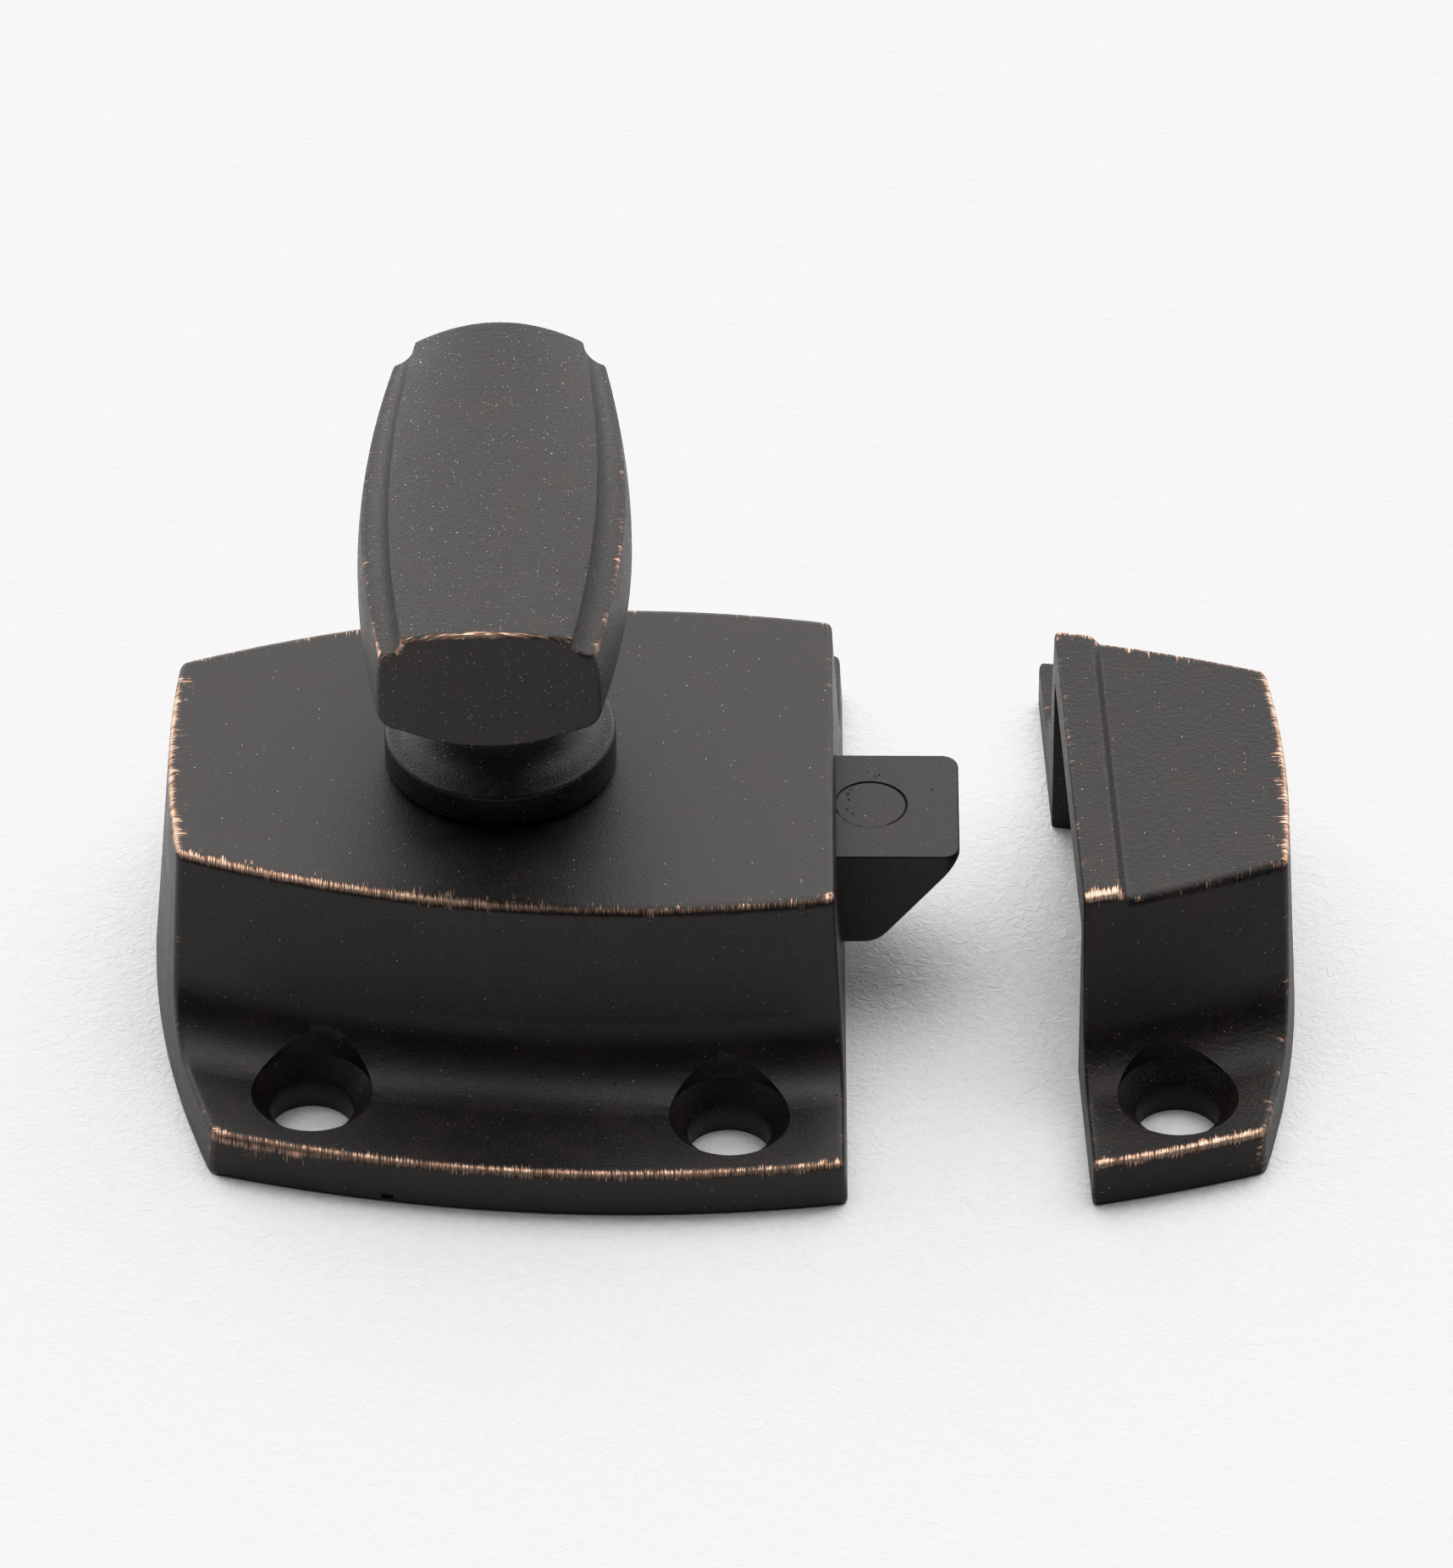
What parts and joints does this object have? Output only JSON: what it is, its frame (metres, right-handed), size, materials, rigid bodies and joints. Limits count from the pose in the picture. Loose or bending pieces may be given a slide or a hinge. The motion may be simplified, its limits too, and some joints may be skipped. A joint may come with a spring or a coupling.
{
  "type": "toggle bolt latch",
  "caption": "Surface-mounted cupboard latch: a turning toggle knob draws a spring bolt into a cast case, with a loose bridge-shaped strike.",
  "frame": {"origin": "where the spindle's axis meets the mounting plane under the case", "axes": "+X the way the bolt shoots, +Z away from the mounting plane towards the knob, +Y towards the case's back flange"},
  "size_m": [0.0681, 0.0508, 0.0356],
  "materials": {
    "bronzed_casting": "oil-rubbed bronze, satin, worn to copper at the edges",
    "zinc_plated_steel": "zinc plated, dull",
    "spring_steel": "drawn spring wire, lightly oiled",
    "bush_brass": "machined",
    "nylon": "moulded, natural"
  },
  "bodies": {
    "case": {"case": "bronzed_casting", "back_plate": "zinc_plated_steel", "back_plate_screw_1": "zinc_plated_steel", "back_plate_screw_2": "zinc_plated_steel", "back_plate_screw_3": "zinc_plated_steel", "back_plate_screw_4": "zinc_plated_steel", "spring_guide_pin": "zinc_plated_steel", "bolt_spring": "spring_steel", "spindle_bush": "bush_brass", "knob_washer": "nylon"},
    "knob": {"toggle_knob": "bronzed_casting", "spindle": "zinc_plated_steel", "retract_cam": "zinc_plated_steel", "wave_washer": "spring_steel", "cam_washer": "zinc_plated_steel", "cam_screw": "zinc_plated_steel"},
    "bolt": {"bolt": "bronzed_casting"},
    "strike": {"strike": "bronzed_casting"}
  },
  "joints": [
    {"name": "knob_turn", "type": "hinge", "parent": "case", "child": "knob", "pos_m": [0, 0, 0], "axis": [0, 0, 1], "range_deg": [0, 72]},
    {"name": "bolt_slide", "type": "slide", "parent": "case", "child": "bolt", "axis": [-1, 0, 0], "range_m": [0, 0.00754], "stiffness_N_per_m": 200, "springref_m": -0.008, "deforming": ["bolt_spring"]},
    {"name": "strike_swing", "type": "hinge", "parent": "case", "child": "strike", "pos_m": [0.0334, 0.229, 0], "axis": [0, 0, -1], "range_deg": [0, 3.05]}
  ],
  "couplings": [
    {"joint": "knob_turn", "follows": "bolt_slide", "rad_per_m": 166.67}
  ]
}
